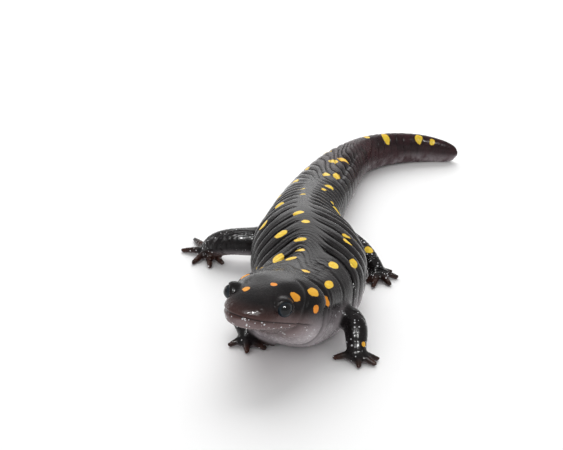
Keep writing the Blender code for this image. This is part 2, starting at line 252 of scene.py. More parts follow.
# Limbs: each one a round tapering arm or leg from inside the body to the middle of its foot,
# then a flat palm and spread, blunt digits. Four digits in front and five behind. The joints are
# the distances down the limb of its elbow or knee and of its wrist or ankle.
LIMBS = {
    "fore_left": {
        "path": [
            (7, -55.5, 6.4), (10.6, -57.4, 6), (13.2, -58.9, 5.4),
            (14.1, -61.8, 4), (14.1, -63.5, 2.2), (14.2, -64.8, 1.3),
        ],
        "radii": [2.8, 2.5, 2.4, 2.2, 1.95, 1.6],
        "joints": (6.2, 12.2),
        "digits": [(9.9, -64.6), (14.3, -68), (17.3, -67.1), (17.9, -65.1)],
    },
    "fore_right": {
        "path": [
            (-1.5, -50, 6.5), (-4.8, -50.4, 6), (-7.7, -51.8, 5.2),
            (-7.6, -55, 3.6), (-6.8, -57, 2.2), (-6.6, -58.6, 1.3),
        ],
        "radii": [2.8, 2.5, 2.4, 2.1, 1.8, 1.5],
        "joints": (6.6, 12.2),
        "digits": [(-9.9, -59.6), (-6.6, -62.3), (-3.2, -61), (-1.6, -59.3)],
    },
    "hind_left": {
        "path": [
            (10, -14, 5), (13.5, -18.2, 4.6), (16.9, -22.6, 3.9),
            (19.5, -26.4, 2.4), (20.5, -28.6, 1.3),
        ],
        "radii": [2.9, 2.6, 2.3, 1.8, 1.6],
        "joints": (11.2, 15.2),
        "digits": [(18.2, -31.6), (19.2, -34), (22.8, -32.9), (24.5, -29.3), (23.4, -26.6)],
    },
    "hind_right": {
        "path": [
            (-1, -19, 5), (-6.4, -20.9, 5), (-11, -20.4, 4.7),
            (-14.3, -19.2, 3.4), (-16, -17.6, 1.7),
        ],
        "radii": [3.3, 3.1, 2.9, 2.6, 2],
        "joints": (10.2, 14.6),
        "digits": [(-19.7, -9.4), (-22, -15.4), (-19.3, -22), (-15.6, -24), (-12.9, -22.2)],
    },
}
LIMB_RINGS = 40
LIMB_SIDES = 36
PALM_RADIUS = 2.1
PALM_HEIGHT = 2.2
DIGIT_RADII = (1.15, 0.8, 0.5)
DIGIT_HEIGHTS = (1.2, 0.95, 0.4)
DIGIT_RINGS = 16
DIGIT_SIDES = 20
DIGIT_CAP_TURNS = (20, 40, 60, 80)

for limb in LIMBS.values():
    route = Route(limb["path"])
    limb["route"] = route
    radius = steady_curve(route.knots, limb["radii"])
    run = np.linspace(0, route.length, LIMB_RINGS)
    forms.append(close_rings(round_rings(route, radius, run, LIMB_SIDES)))
    foot = np.array(limb["path"][-1])[:2]
    limb["foot"] = foot
    palm = (foot[0], foot[1], PALM_HEIGHT * 0.4)
    forms.append(close_rings(ball_rings(palm, (PALM_RADIUS, PALM_RADIUS, PALM_HEIGHT * 0.6))))
    for tip in limb["digits"]:
        tip = np.array(tip)
        plan = (foot, (foot + tip) / 2, tip)
        digit = Route([(*place, up_here) for place, up_here in zip(plan, DIGIT_HEIGHTS)])
        girth = steady_curve(digit.knots, DIGIT_RADII)
        rings = round_rings(digit, girth, np.linspace(0, digit.length, DIGIT_RINGS), DIGIT_SIDES)
        last_ring = rings[-1]
        center = last_ring.mean(axis=0)
        ahead = np.append((tip - foot) / np.linalg.norm(tip - foot), 0.0)
        for degrees in DIGIT_CAP_TURNS:
            bow = math.radians(degrees)
            pad = ahead * DIGIT_RADII[-1] * math.sin(bow)
            cap = center + (last_ring - center) * math.cos(bow) + pad
            rings = np.concatenate([rings, cap[None]])
        forms.append(close_rings(rings))

# --- Skin ------------------------------------------------------------------------------------
# One thin, wet, scaleless skin covers everything but the eyes. All the rounded forms are fused
# into one surface, relaxed so that the limbs grow out of the body, and then folded.

VOXEL = 0.36
FINE_HEAD_END = 14.0

points = []
faces = []
for form_points, form_faces in forms:
    start = sum(len(group) for group in points)
    points.append(form_points)
    faces += [tuple(int(i) + start for i in face) for face in form_faces]
raw = bpy.data.meshes.new("salamander_raw")
raw.from_pydata(np.concatenate(points).tolist(), [], faces)
skin = bpy.data.objects.new("salamander_skin", raw)
bpy.context.scene.collection.objects.link(skin)
remesh = skin.modifiers.new("Fuse", "REMESH")
remesh.mode = "VOXEL"
remesh.voxel_size = VOXEL
fused = bpy.data.meshes.new_from_object(skin.evaluated_get(bpy.context.evaluated_depsgraph_get()))
skin.modifiers.clear()
skin.data = fused
fused.name = "salamander_skin"

# The face, where the skin is most closely shaped, gets a finer mesh.
neck_point, neck_travel = (axis[0] for axis in body.frame([FINE_HEAD_END])[:2])
face_mesh = bmesh.new()
face_mesh.from_mesh(fused)
ahead = [(np.array(v.co) - neck_point) @ neck_travel < 0 for v in face_mesh.verts]
face_edges = [e for e in face_mesh.edges if ahead[e.verts[0].index] and ahead[e.verts[1].index]]
bmesh.ops.subdivide_edges(face_mesh, edges=face_edges, cuts=1, use_grid_fill=True)
face_mesh.to_mesh(fused)
face_mesh.free()

vertex_count = len(fused.vertices)
place = np.empty(vertex_count * 3)
fused.vertices.foreach_get("co", place)
place = place.reshape(-1, 3)
edge = np.empty(len(fused.edges) * 2, dtype=np.int32)
fused.edges.foreach_get("vertices", edge)
edge_a, edge_b = edge.reshape(-1, 2).T
degree = np.bincount(edge_a, minlength=vertex_count) + np.bincount(edge_b, minlength=vertex_count)


def neighbour_mean(values):
    total = np.bincount(edge_a, values[edge_b], vertex_count)
    total += np.bincount(edge_b, values[edge_a], vertex_count)
    return total / degree


# Moves each point part of the way to the mean of its neighbours, or away from it.
def relax(points, amount):
    mean = np.stack([neighbour_mean(points[:, i]) for i in range(3)], axis=1)
    return points + (mean - points) * amount


# A soft step from 0 to 1 between two values.
def ramp(low, high, values):
    t = np.clip((values - low) / (high - low), 0.0, 1.0)
    return t * t * (3 - 2 * t)


# A rounded ridge that is 1 where the values are 0.
def bump_at(values, width):
    return np.exp(-(values / width) ** 2)


# Smooth unevenness between about -1 and 1, in lumps of a given size.
def ripple(points, size, seed=0.0):
    offset = Vector((seed, seed * 1.7, -seed))
    return np.array([noise.noise(Vector(p) / size + offset) for p in points])


# Each point of the skin is known by its distance along the body, and by how far it lies to the
# left of the mid-line and above it.
def body_coordinates(points):
    sample = np.arange(0.0, tail_end, 0.3)
    center, along, left, upper = body.frame(sample)
    nearest = np.empty(len(points), dtype=np.int32)
    batch = 8000
    for start in range(0, len(points), batch):
        block = points[start:start + batch]
        gap = ((block[:, None] - center[None]) ** 2).sum(axis=2)
        nearest[start:start + batch] = gap.argmin(axis=1)
    offset = points - center[nearest]
    distance = sample[nearest] + (offset * along[nearest]).sum(axis=1)
    distance = np.clip(distance, 0.0, tail_end)
    return distance, (offset * left[nearest]).sum(axis=1), (offset * upper[nearest]).sum(axis=1)


# How near each point lies to the middle of a limb, and how far down the limb.
def limb_coordinates(points, limb, count):
    run = np.linspace(0, limb["route"].length, count)
    spine = limb["route"].curve(run)
    gap = np.sqrt(((points[:, None] - spine[None]) ** 2).sum(axis=2))
    return gap.min(axis=1), run[gap.argmin(axis=1)]


# Smoothing and sharpening in turn takes out the voxel steps and keeps the form's size.
SMOOTHING = 0.5
SHARPENING = -0.52
SMOOTHING_ROUNDS = 6
ROOT_ROUNDS = 26
for _ in range(SMOOTHING_ROUNDS):
    place = relax(place, SMOOTHING)
    place = relax(place, SHARPENING)

# What stands out beyond the body's own loft, behind the head or low down beside it, is a limb. The
# skin is relaxed round the root of each, so that it grows out of the body in a soft hollow.
distance, lateral, lift = body_coordinates(place)
wide = half_width(distance)
tall = np.where(lift > 0, back_height(distance), belly_depth(distance))
roundness = np.where(lift > 0, BACK_ROUNDNESS, BELLY_ROUNDNESS)
radial = (np.abs(lateral / wide) ** roundness + np.abs(lift / tall) ** roundness) ** (1 / roundness)
excess = (radial - 1) * np.minimum(wide, tall)
root = np.zeros(vertex_count)
behind_head = ramp(12.0, 16.0, distance)
for limb in LIMBS.values():
    gap, _ = limb_coordinates(place, limb, LIMB_RINGS)
    root = np.maximum(root, ramp(3.9, 2.6, gap) * ramp(2.2, 0.4, excess) * behind_head)
for _ in range(ROOT_ROUNDS):
    place = relax(place, SMOOTHING * root[:, None])
past_jaw = ramp(13.0, 17.0, distance)
low_down = ramp(7.0, 5.5, place[:, 2])
limb_mask = ramp(0.15, 0.9, excess) * np.maximum(past_jaw, low_down)

# Folds. Costal grooves cross the flanks about 4 mm apart, one for each rib, and sweep towards
# the tail as they near the spine. On the tail they run slantwise and crowd together.
LEFT_GROOVES = [
    17.0, 22.0, 26.5, 28.8, 32.0, 35.4, 39.5, 43.0, 47.0, 50.2, 53.6, 57.2, 60.6, 64.2, 67.6, 71.4,
    75.6, 79.8, 83.2, 87.4, 91.0, 95.2, 98.6, 102.4, 105.6, 108.4,
]
RIGHT_GROOVES = [
    16.0, 21.0, 26.0, 29.7, 34.6, 38.5, 43.5, 47.6, 51.8, 55.6, 59.0, 62.8, 66.2, 69.8, 74.0, 78.2,
    82.0, 86.2, 89.8, 94.0, 97.6, 101.4, 104.6, 107.6,
]
TAIL_GROOVE_GAP = 2.1
GROOVE_SHARPNESS = 3.4
outward = np.abs(lateral) / wide
inward = np.clip(1 - outward, 0, 1)
sweep_left = steady_curve([0, 17, 28, 38, 50, 62, 74, 80], [0, 1.5, 5, 9.5, 11.5, 10, 3, 0])
sweep_right = steady_curve([0, 17, 34, 42, 62, 74, 80], [0, 2, 13, 12.5, 10, 3, 0])
tail_slant = steady_curve([0, 66, 80, 101, 110, 118, 125], [0, 0, 7, 6.5, 5.5, 2.5, 0.5])
on_left = ramp(-0.28, 0.28, lateral / wide)
swept = distance + tail_slant(distance) * np.clip(lateral / wide, -1, 1)
arch = 1 - np.clip(outward, 0, 1) ** 1.5
swept -= on_left * sweep_left(distance) * arch
swept -= (1 - on_left) * sweep_right(distance) * arch
warp = ripple(place, 7.0) * 0.85 + ripple(place, 2.6, 3.0) * 0.12


# Counts the grooves passed on the way down the body: a whole number on each groove.
def groove_phase(grooves, along):
    grooves = list(grooves)
    while grooves[-1] < tail_end:
        grooves.append(grooves[-1] + TAIL_GROOVE_GAP)
    return np.interp(along, grooves, np.arange(len(grooves)))


# 1 on each groove, falling to 0 on the crest of the roll between two grooves.
def rolls(phase, sharpness):
    nearness = np.abs(phase - np.floor(phase) - 0.5) * 2
    return nearness ** sharpness


groove_depth = steady_curve(
    [0, 14, 17, 25, 28, 34, 62, 72, 84, 100, 108, 114, 124, 134, tail_end],
    [0, 0, 0.12, 0.22, 0.75, 1.0, 0.90, 0.66, 0.56, 0.52, 0.40, 0.20, 0.14, 0.10, 0])
phase = on_left * groove_phase(LEFT_GROOVES, swept + warp)
phase += (1 - on_left) * groove_phase(RIGHT_GROOVES, swept + warp)
# The grooves stop short of the spine on the trunk and run over it on the tail.
beside_spine = ramp(0.08, 0.38, outward)
beside_spine = np.maximum(beside_spine, ramp(74, 86, distance) * 0.9)
slackness = np.clip(0.85 + 0.75 * ripple(place, 6.0, 8.0), 0.3, 1.25)
fold_depth = groove_depth(distance) * beside_spine * slackness
push = -fold_depth * rolls(phase, GROOVE_SHARPNESS)

# Finer wrinkles gather where the skin is slack: in a fan over the right shoulder, on the nape
# and in the hollow of each bend.
WRINKLE_SHARPNESS = 2.0
FAN_GAP = 1.5
FAN_DEPTH = 0.20
NAPE_GAP = 1.15
NAPE_DEPTH = 0.12
PLEAT_GAP = 1.45
PLEAT_DEPTH = 0.26
BEND_SAMPLES = 1500

fan = ramp(20, 26, distance) * ramp(44, 36, distance) * bump_at(outward - 0.26, 0.30) * (1 - on_left)
push -= FAN_DEPTH * rolls((swept + warp) / FAN_GAP, WRINKLE_SHARPNESS) * fan * ramp(0, 1, lift)

nape = ramp(15, 18, distance) * ramp(30, 24, distance) * ramp(0.0, 2.5, lift) * ramp(0.8, 0.4, outward)
nape_run = distance + tail_slant(distance) + 1.5 * inward * on_left + warp
push -= NAPE_DEPTH * rolls(nape_run / NAPE_GAP, WRINKLE_SHARPNESS) * nape

fine = np.linspace(0, tail_end, BEND_SAMPLES)
_, travel, left_of_travel, _ = body.frame(fine)
bend = (np.gradient(travel, fine, axis=0) * left_of_travel).sum(axis=1)
squeeze = np.interp(distance, fine, bend) * lateral
slack_bend = ramp(0.05, 0.30, squeeze)
pleat = rolls((swept + warp) / PLEAT_GAP, WRINKLE_SHARPNESS)
push -= PLEAT_DEPTH * pleat * slack_bend * ramp(66, 76, distance)
fine_wrinkles = np.maximum(fan * ramp(0, 1, lift) * 0.8, nape * 0.35)
fine_wrinkles = np.maximum(fine_wrinkles, slack_bend * ramp(66, 76, distance) * 0.5)

# The bend of the tail is pinched along its inner side.
PINCH_ANGLE = math.radians(50)
PINCH_DEPTH = 0.40
rise = np.clip(lift / tall, -1, 1)
angle = np.arctan2(lift / tall, lateral / wide)
pinch = bump_at(angle - PINCH_ANGLE - 0.05 * ripple(place, 5.0, 2.0), 0.10)
push -= PINCH_DEPTH * pinch * ramp(77, 88, distance) * ramp(112, 104, distance)

# Head: a crease behind the jaw and cheek, the gular fold before the shoulder, and the swollen
# gland between them. Behind them the shoulders swell round the roots of the arms.
CHEEK_CREASE_DISTANCE = 9.9
CHEEK_CREASE_DEPTH = 0.22
GULAR_DISTANCE = 15.2
GULAR_DEPTH = 0.50
GLAND_DISTANCE = 13.4
GLAND_SWELL = 0.22
SHOULDER_DISTANCE = 21.0
SHOULDER_SWELL = 0.30

upper_part = np.clip(rise, 0, 1)
lower_part = np.clip(-rise, 0, 1)
cheek = distance - (CHEEK_CREASE_DISTANCE + 0.9 * rise + 3.0 * upper_part ** 2)
push -= CHEEK_CREASE_DEPTH * bump_at(cheek, 0.45) * ramp(0.25, 0.6, outward) * ramp(-0.9, -0.5, rise)
gular = distance - (GULAR_DISTANCE + 1.4 * np.sqrt(upper_part) + 1.2 * lower_part)
push -= GULAR_DEPTH * bump_at(gular, 0.42) * ramp(0.995, 0.80, rise)
gland = bump_at(distance - GLAND_DISTANCE, 1.5) * bump_at(rise - 0.35, 0.5)
push += GLAND_SWELL * gland * ramp(0.5, 0.9, outward)
shoulder = bump_at(distance - SHOULDER_DISTANCE, 3.4) * ramp(0.45, 0.85, outward)
push += SHOULDER_SWELL * shoulder * ramp(-0.5, 0.2, rise)
push *= 1 - limb_mask

# The mouth is a closed line round the snout, sloping down towards the jaw joint.
MOUTH_TILT = math.radians(14.0)
MOUTH_ABOVE_LIP = 0.25
MOUTH_ROLL = 0.10
MOUTH_LENGTH = 12.0
MOUTH_DEPTH = 0.22
LIP_OFFSET = 0.62
UPPER_LIP_SWELL = 0.08
LOWER_LIP_SWELL = 0.10

point, travel, side, up = (axis[0] for axis in body.frame([SNOUT_END]))
lip = point - travel * SNOUT_END
from_lip = place - lip
head_along = from_lip @ travel
head_side = from_lip @ side
head_up = from_lip @ up
mouth_line = head_up + math.tan(MOUTH_TILT) * head_along - MOUTH_ABOVE_LIP + MOUTH_ROLL * head_side
near_head = ramp(17, 14, distance)
mouth_fade = ramp(MOUTH_LENGTH, MOUTH_LENGTH - 4.0, head_along) * near_head
push -= MOUTH_DEPTH * bump_at(mouth_line, 0.20) * mouth_fade
push += UPPER_LIP_SWELL * bump_at(mouth_line - LIP_OFFSET, 0.42) * mouth_fade
push += LOWER_LIP_SWELL * bump_at(mouth_line + LIP_OFFSET, 0.42) * mouth_fade

# Under the lower jaw its bony edge stands out against the soft throat.
JAW_EDGE_SWELL = 0.14
JAW_HOLLOW_DEPTH = 0.26
jaw_edge = head_up + 1.9 + 0.46 * head_along - 0.048 * head_side ** 2
jaw_fade = ramp(12.0, 9.5, head_along) * near_head * ramp(-0.2, -0.5, rise)
push += JAW_EDGE_SWELL * bump_at(jaw_edge - 0.5, 0.5) * jaw_fade
push -= JAW_HOLLOW_DEPTH * bump_at(jaw_edge + 0.25, 0.38) * jaw_fade

# Nostrils: two small wet pits with a soft rim, well apart on the blunt snout.
NOSTRIL_DISTANCE = 1.9
NOSTRIL_OUT = 2.75
NOSTRIL_UP = 1.25
NOSTRIL_RADIUS = 0.28
NOSTRIL_DEPTH = 0.40
NOSTRIL_RIM_RADIUS = 0.62
NOSTRIL_RIM_SWELL = 0.08
FAR = 9.0

point, _, side, up = (axis[0] for axis in body.frame([NOSTRIL_DISTANCE]))
nostril = np.full(vertex_count, FAR)
for sign in (1.0, -1.0):
    pit = point + side * NOSTRIL_OUT * sign + up * NOSTRIL_UP
    nostril = np.minimum(nostril, np.linalg.norm(place - pit, axis=1))
nostril_rim = NOSTRIL_RIM_SWELL * bump_at(nostril - NOSTRIL_RIM_RADIUS, 0.35)
push += nostril_rim - NOSTRIL_DEPTH * bump_at(nostril, NOSTRIL_RADIUS)

# Brow: the snout is dished between the eyes, and the crown swells a little on either side.
DISH_DEPTH = 0.12
CROWN_SWELL = 0.20
forehead = bump_at(distance - 5.0, 2.6) * bump_at(lateral, 2.4) * ramp(0.5, 2.0, lift)
push -= DISH_DEPTH * forehead
crown = bump_at(distance - 11.0, 2.4) * bump_at(np.abs(lateral) - 3.2, 1.8)
push += CROWN_SWELL * crown * ramp(1, 3, lift)

# Eyelids: a groove round each whole mound sets it off from the head.
LID_GROOVE_RADIUS = 2.60
LID_GROOVE_DEPTH = 0.20
for eye in eyes.values():
    from_lids = place - eye["lids"]
    mound_gap = np.linalg.norm(from_lids, axis=1)
    outer = ramp(-0.8, 0.4, from_lids @ eye["outlook"])
    lid_groove = bump_at(mound_gap - LID_GROOVE_RADIUS, 0.32) * outer
    push -= LID_GROOVE_DEPTH * lid_groove * ramp(0.4, 1.4, mouth_line)

# Elbows, knees, wrists and ankles are wrinkled across.
LIMB_REACH = 3.6
LIMB_SAMPLES = 60
LIMB_WRINKLE_GAP = 0.95
LIMB_WRINKLE_DEPTH = 0.15
limb_run = np.zeros(vertex_count)
limb_fold = np.zeros(vertex_count)
for limb in LIMBS.values():
    gap, run = limb_coordinates(place, limb, LIMB_SAMPLES)
    close = gap < LIMB_REACH
    bend_at, ankle_at = limb["joints"]
    fold = np.maximum(bump_at(run - bend_at, 2.0), bump_at(run - ankle_at, 1.2))
    limb_fold = np.where(close, fold, limb_fold)
    limb_run = np.where(close, run, limb_run)
limb_wrinkle = (1 - np.abs(np.sin(math.pi * (limb_run + warp * 0.4) / LIMB_WRINKLE_GAP))) ** 1.6
push -= LIMB_WRINKLE_DEPTH * limb_wrinkle * limb_fold * limb_mask

# All the folds and swellings push the skin in or out along its own normal.
fused.vertices.foreach_set("co", place.ravel())
fused.update()
normal = np.empty(vertex_count * 3)
fused.vertex_normals.foreach_get("vector", normal)
normal = normal.reshape(-1, 3)
place = place + normal * push[:, None]
place = relax(place, SMOOTHING / 2)

# The lids open in a rounded rim round each eyeball, thick above and thin below. The skin runs on
# behind the ball, out of sight, and the rim is relaxed until it lies smooth.
LID_OPENING = 64
LID_OVERHANG = 16
LID_CLEARANCE = 0.10
LID_THICKNESS = 0.36
LID_ROUNDING = 16
LID_TUCK = 0.25
LID_REACH = 2.75
LID_ROUNDS = 7
lid_rim = np.zeros(vertex_count)
for eye in eyes.values():
    outlook = eye["outlook"]
    from_ball = place - eye["ball"]
    ball_gap = np.linalg.norm(from_ball, axis=1)
    aim = from_ball / ball_gap[:, None]
    off = np.degrees(np.arccos(np.clip(aim @ outlook, -1, 1)))
    above = aim[:, 2] - (aim @ outlook) * outlook[2]
    beyond = off - (LID_OPENING - LID_OVERHANG * above)
    rim_swell = LID_THICKNESS * np.sqrt(np.clip(beyond / LID_ROUNDING, 0, 1))
    capped = np.minimum(ball_gap, EYEBALL_RADIUS + LID_CLEARANCE + rim_swell)
    capped = np.where(beyond < 0, EYEBALL_RADIUS - LID_TUCK, capped)
    eased = ramp(46, 28, beyond) * ramp(0.2, 0.9, mouth_line)
    settled = ball_gap + (capped - ball_gap) * eased
    on_mound = (ball_gap < LID_REACH)[:, None]
    place = np.where(on_mound, eye["ball"] + aim * settled[:, None], place)
    lid_rim = np.maximum(lid_rim, ramp(3, 9, beyond) * ramp(75, 45, beyond) * ramp(3.4, 2.7, ball_gap))
for _ in range(LID_ROUNDS):
    place = relax(place, SMOOTHING * lid_rim[:, None])
place[:, 2] = np.maximum(place[:, 2], 0.0)

# Spots: two uneven rows of egg-yolk spots from the eyes to the tail, orange on the head. Each
# is a distance along the body, a turn round it in degrees from the left side over the back,
# a length along the body, a width round it and how orange it is.
SPOTS = [
    (5.6, 110, 1.3, 1.4, 0.8),
    (8.7, 78, 1.1, 1.2, 1.0),
    (9.4, 39, 1.5, 2.0, 0.75),
    (12.3, 143, 1.4, 2.0, 0.8),
    (12.4, 7, 1.2, 1.6, 1.0),
    (13.3, 38, 2.1, 2.1, 0.45),
    (16.2, 15, 0.8, 2.6, 0.9),
    (16.0, 155, 1.8, 2.0, 0.5),
    (19.1, 38, 2.6, 1.6, 0.1),
    (19.9, 76, 1.1, 2.0, 0.1),
    (22.0, 150, 2.0, 2.2, 0.2),
    (26.4, 107, 1.6, 1.9, 0.0),
    (26.7, 58, 2.0, 2.1, 0.0),
    (27.4, 123, 4.2, 2.2, 0.0),
    (30.8, 38, 2.6, 2.0, 0.0),
    (30.5, 162, 1.8, 1.9, 0.0),
    (31.6, 99, 1.4, 2.1, 0.0),
    (36.6, 100, 1.8, 2.5, 0.0),
    (37.9, 50, 1.5, 2.0, 0.0),
    (40.5, 118, 2.8, 2.6, 0.0),
    (40.6, 50, 0.9, 1.7, 0.0),
    (40.7, 35, 1.2, 1.3, 0.0),
    (42.0, 183, 2.2, 2.0, 0.0),
    (44.8, 91, 1.5, 1.9, 0.0),
    (49.3, 140, 2.4, 2.2, 0.0),
    (49.8, 97, 1.7, 2.3, 0.0),
    (58.0, 124, 2.4, 1.9, 0.0),
    (58.0, 160, 2.4, 2.2, 0.0),
    (60.3, 34, 2.6, 2.4, 0.0),
    (63.3, 93, 1.2, 1.3, 0.0),
    (64.1, 44, 1.1, 1.2, 0.0),
    (68.3, 103, 1.2, 2.6, 0.0),
    (68.0, 145, 2.6, 2.2, 0.0),
    (71.0, 65, 1.0, 1.4, 0.0),
    (74.7, 60, 2.8, 2.4, 0.0),
    (79.0, 130, 2.6, 2.2, 0.0),
    (84.2, 78, 2.6, 1.9, 0.0),
    (85.8, 59, 4.4, 1.8, 0.0),
    (91.0, 135, 2.6, 2.2, 0.0),
    (95.5, 85, 2.3, 2.4, 0.0),
    (98.1, 67, 1.7, 3.4, 0.2),
    (104.0, 130, 2.6, 2.2, 0.0),
    (112.0, 150, 2.2, 2.4, 0.0),
    (117.7, 90, 1.5, 2.0, 0.0),
    (123.4, 60, 2.2, 3.6, 0.0),
    (127.0, 140, 2.0, 2.6, 0.0),
    (133.5, 55, 2.1, 2.8, 0.0),
    (137.2, 48, 1.4, 1.9, 0.0),
]
# Spots on the limbs: a place, a size across and how orange each is.
LIMB_SPOTS = [
    ((18.8, -25.3, 5.0), 2.0, 0.0),
    ((15.4, -64.5, 3.2), 1.0, 0.5),
]

# The spot field is the distance inside the edge of the nearest spot, in millimetres.
NO_SPOT = -5.0
RAGGED_SIZE = 0.9
RAGGED_EDGE = 0.18
SPOT_REACH = 8
SPOT_TURN_REACH = 1.2
spot = np.full(vertex_count, NO_SPOT)
orange = np.zeros(vertex_count)
ragged = ripple(place, RAGGED_SIZE, 11.0) * RAGGED_EDGE
for spot_distance, turn_degrees, length, breadth, warmth in SPOTS:
    turn_here = math.radians(turn_degrees)
    here = np.array([spot_distance])
    gap = np.hypot((distance - spot_distance) / 2, (angle - turn_here) * 6)
    swept_here = swept[gap.argmin()]
    tangent = math.hypot(half_width(here)[0] * math.sin(turn_here),
                         back_height(here)[0] * math.cos(turn_here))
    around = (angle - turn_here) * tangent
    # On the trunk a spot is drawn out along the sweep of the folds.
    stretch = 0.5 * ramp(85, 65, spot_distance)
    askew = (distance - spot_distance) * (1 - stretch) + (swept - swept_here) * stretch
    reach = np.hypot(askew / length, around / breadth) * 2
    value = (1 - reach) * min(length, breadth) / 2 + ragged
    close = np.abs(angle - turn_here) < SPOT_TURN_REACH
    close &= np.abs(distance - spot_distance) < SPOT_REACH
    value = np.where(close & (limb_mask < 0.5), value, NO_SPOT)
    orange = np.where(value > spot, warmth, orange)
    spot = np.maximum(spot, value)
for center, size, warmth in LIMB_SPOTS:
    value = size / 2 - np.linalg.norm(place - np.array(center), axis=1) + ragged
    orange = np.where(value > spot, warmth, orange)
    spot = np.maximum(spot, value)

# Where each part of the colouring lies: the pale belly, the brown face, the white flecks, the painted
# shade in the bottom of the folds and the brown toes.
FULL_SHADE_DEPTH = 0.45
off_limbs = 1 - limb_mask
underside = ramp(0.05, -0.75, rise) * off_limbs
underside = np.maximum(underside, ramp(-0.1, -0.8, normal[:, 2]) * limb_mask * 0.5)
face = near_head * ramp(3.4, -0.4, mouth_line) * ramp(14.5, 9.0, distance)
jaw_flecks = near_head * ramp(0.3, -0.6, mouth_line) * ramp(-5.5, -3.0, mouth_line)
flank_flecks = ramp(0.1, -0.4, rise) * ramp(16, 22, distance) * ramp(100, 85, distance) * off_limbs * 0.8
flecks = np.maximum(np.maximum(jaw_flecks, flank_flecks), limb_mask * 0.62)
# Painted shade: the deeper the skin is pushed in, the darker it is coloured, as if shaded in the fold.
crease_shade = np.clip(-push / FULL_SHADE_DEPTH, 0, 1)
toe = np.zeros(vertex_count)
for limb in LIMBS.values():
    reach = np.linalg.norm(place[:, :2] - limb["foot"], axis=1)
    toe = np.maximum(toe, ramp(1.8, 4.2, reach) * ramp(8.5, 6.5, reach) * ramp(3.2, 2.2, place[:, 2]))
toe *= limb_mask
trunk = ramp(15, 22, distance) * off_limbs
tail = ramp(78, 112, distance)
mouth = np.where(mouth_fade > 0.02, mouth_line, FAR)

# The left eye's box says where the design's origin lies in the frame.
shift_low, shift_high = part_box("eye_left")
shift = (np.array(shift_low) + np.array(shift_high)) / 2 / MM - eyes["left"]["ball"]
fused.vertices.foreach_set("co", ((place + shift) * MM).ravel())
fields = {
    "spot": spot, "orange": orange, "underside": underside, "face": face, "flecks": flecks,
    "crease_shade": crease_shade, "mouth": mouth, "mouth_fade": mouth_fade, "nostril": nostril, "toe": toe,
    "fold_phase": phase, "fold_depth": fold_depth, "fine_wrinkles": fine_wrinkles,
    "trunk": trunk, "tail": tail,
}
for name, values in fields.items():
    layer = fused.attributes.new(name, "FLOAT", "POINT")
    layer.data.foreach_set("value", values.astype(np.float32))
skin_place = np.stack([swept + warp, angle * wide, np.zeros(vertex_count)], axis=1)
layer = fused.attributes.new("skin_place", "FLOAT_VECTOR", "POINT")
layer.data.foreach_set("vector", skin_place.astype(np.float32).ravel())
fused.update()
fused.shade_smooth()


# Adds one shader node with its settings, and sets or links each of its inputs.
def add_node(tree, kind, inputs=None, **settings):
    node = tree.nodes.new(kind)
    for key, value in settings.items():
        setattr(node, key, value)
    for key, value in (inputs or {}).items():
        if isinstance(value, bpy.types.NodeSocket):
            tree.links.new(value, node.inputs[key])
        else:
            node.inputs[key].default_value = value
    return node


# A value that changes over the surface, by its name.
def field(tree, name):
    return add_node(tree, "ShaderNodeAttribute", attribute_name=name).outputs["Fac"]


def noise_over(tree, place, scale, detail, roughness=0.5):
    inputs = {"Vector": place, "Scale": scale, "Detail": detail, "Roughness": roughness}
    return add_node(tree, "ShaderNodeTexNoise", inputs).outputs["Fac"]


def cells_over(tree, place, scale):
    return add_node(tree, "ShaderNodeTexVoronoi", {"Vector": place, "Scale": scale})


def remap(tree, value, low, high, to_low=0.0, to_high=1.0, kind="SMOOTHSTEP"):
    return add_node(tree, "ShaderNodeMapRange", {
        "Value": value, "From Min": low, "From Max": high, "To Min": to_low, "To Max": to_high,
    }, interpolation_type=kind).outputs["Result"]


def calculate(tree, operation, first, second=0.0):
    return add_node(tree, "ShaderNodeMath", {0: first, 1: second}, operation=operation).outputs[0]


def times(tree, first, second):
    return calculate(tree, "MULTIPLY", first, second)


# The first colour where the factor is 0 and the second where it is 1.
def blend(tree, factor, first, second):
    factor_input, first_input, second_input = 0, 6, 7
    colors = [c if isinstance(c, bpy.types.NodeSocket) else (*c, 1.0) for c in (first, second)]
    inputs = {factor_input: factor, first_input: colors[0], second_input: colors[1]}
    return add_node(tree, "ShaderNodeMix", inputs, data_type="RGBA").outputs[2]


# Relief of a given depth in metres, laid over the relief under it.
def relief(tree, height, strength, depth, under=None):
    inputs = {"Height": height, "Strength": strength, "Distance": depth}
    if under is not None:
        inputs["Normal"] = under
    return add_node(tree, "ShaderNodeBump", inputs).outputs["Normal"]


# Wet amphibian skin: charcoal black with a clear film of mucus over it, paler and browner on
# the jaw and belly, with sharp-edged yolk-yellow spots and scattered white flecks.
CHARCOAL = (0.0070, 0.0058, 0.0062)
SLATE = (0.014, 0.0110, 0.0115)
BELLY_GREY = (0.50, 0.45, 0.47)
LIP_BROWN = (0.105, 0.052, 0.046)
TOE_BROWN = (0.055, 0.020, 0.013)
PLUM = (0.046, 0.015, 0.018)
YOLK = (0.90, 0.57, 0.035)
PALE_YOLK = (0.92, 0.70, 0.080)
TANGERINE = (0.88, 0.30, 0.030)
FLECK_WHITE = (0.72, 0.72, 0.74)
# Painted shade for the inside of the mouth slit and the nostril pits.
MOUTH_SHADE = (0.012, 0.008, 0.008)
# How many lumps or cells each texture has in a metre.
MOTTLE_SCALE = 260.0
YOLK_SCALE = 1300.0
FLECK_SCALE = 1450.0
GRAIN_SCALE = 1500.0
PORE_SCALE = 2600.0
# How deep each kind of relief is, in metres.
FOLD_RELIEF = 0.00028
HAIRLINE_RELIEF = 0.00008
PORE_RELIEF = 0.00008
GRAIN_RELIEF = 0.00006
FLECK_RELIEF = 0.00015

